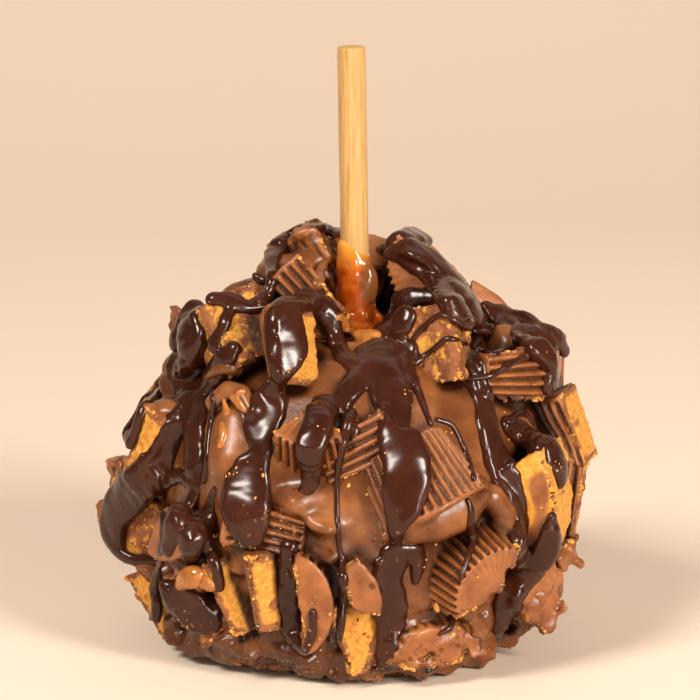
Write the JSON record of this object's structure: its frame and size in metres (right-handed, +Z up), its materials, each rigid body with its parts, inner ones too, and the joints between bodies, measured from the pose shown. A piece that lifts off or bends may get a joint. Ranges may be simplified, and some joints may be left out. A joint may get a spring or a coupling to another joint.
{
  "type": "caramel apple",
  "caption": "Chocolate-dipped caramel apple on a wooden stick, covered with chopped peanut butter cup pieces and poured dark chocolate strands",
  "frame": {"origin": "middle of the flat foot the apple stands on", "axes": "+Z up along the stick, the front that is seen in the picture looks along -Y, +X to the right of that front"},
  "size_m": [0.1183, 0.1101, 0.1381],
  "materials": {
    "milk_chocolate": "gloss",
    "cup_pieces": "satin",
    "dark_chocolate": "gloss",
    "caramel": "gloss",
    "wood": "matte"
  },
  "bodies": {
    "root": {"apple": "milk_chocolate", "stick": "wood", "caramel": "caramel", "crown_right": "cup_pieces", "crown_left": "cup_pieces", "crown_back_left": "cup_pieces", "shoulder_left": "cup_pieces", "shoulder_front_left": "cup_pieces", "shoulder_front_right": "cup_pieces", "belt_front_right": "cup_pieces", "belt_front_left": "cup_pieces", "belt_front": "cup_pieces", "skirt_front_right": "cup_pieces", "shoulder_right": "cup_pieces", "shoulder_far_right": "cup_pieces", "belt_right": "cup_pieces", "belt_far_right_top": "cup_pieces", "belt_far_right_low": "cup_pieces", "belt_far_left": "cup_pieces", "skirt_far_left": "cup_pieces", "skirt_left": "cup_pieces", "skirt_front_fluted": "cup_pieces", "foot_slab_front": "cup_pieces", "foot_slab_left": "cup_pieces", "foot_slab_brown": "cup_pieces", "foot_oval": "cup_pieces", "foot_nut_lump": "cup_pieces", "foot_right": "cup_pieces", "foot_far_right": "cup_pieces", "foot_dipped": "cup_pieces", "foot_far_left": "cup_pieces", "crown_scrap_left": "cup_pieces", "shoulder_scrap_left": "cup_pieces", "belt_scrap_left": "cup_pieces", "skirt_scrap_right": "cup_pieces", "foot_scrap_left": "cup_pieces", "crown_back": "cup_pieces", "crown_back_right": "cup_pieces", "shoulder_back_left": "cup_pieces", "shoulder_back": "cup_pieces", "belt_back_left": "cup_pieces", "belt_back_middle_left": "cup_pieces", "belt_back": "cup_pieces", "belt_back_middle_right": "cup_pieces", "belt_back_right": "cup_pieces", "foot_back_left": "cup_pieces", "foot_back_middle_left": "cup_pieces", "foot_back": "cup_pieces", "foot_back_middle_right": "cup_pieces", "foot_back_right": "cup_pieces", "strand_left": "dark_chocolate", "strand_front_left": "dark_chocolate", "strand_front": "dark_chocolate", "strand_right": "dark_chocolate", "strand_shoulder_right": "dark_chocolate", "strand_belt_right": "dark_chocolate", "strand_low_left": "dark_chocolate", "strand_low_front": "dark_chocolate", "strand_back_left": "dark_chocolate", "strand_back_right": "dark_chocolate"}
  },
  "joints": []
}
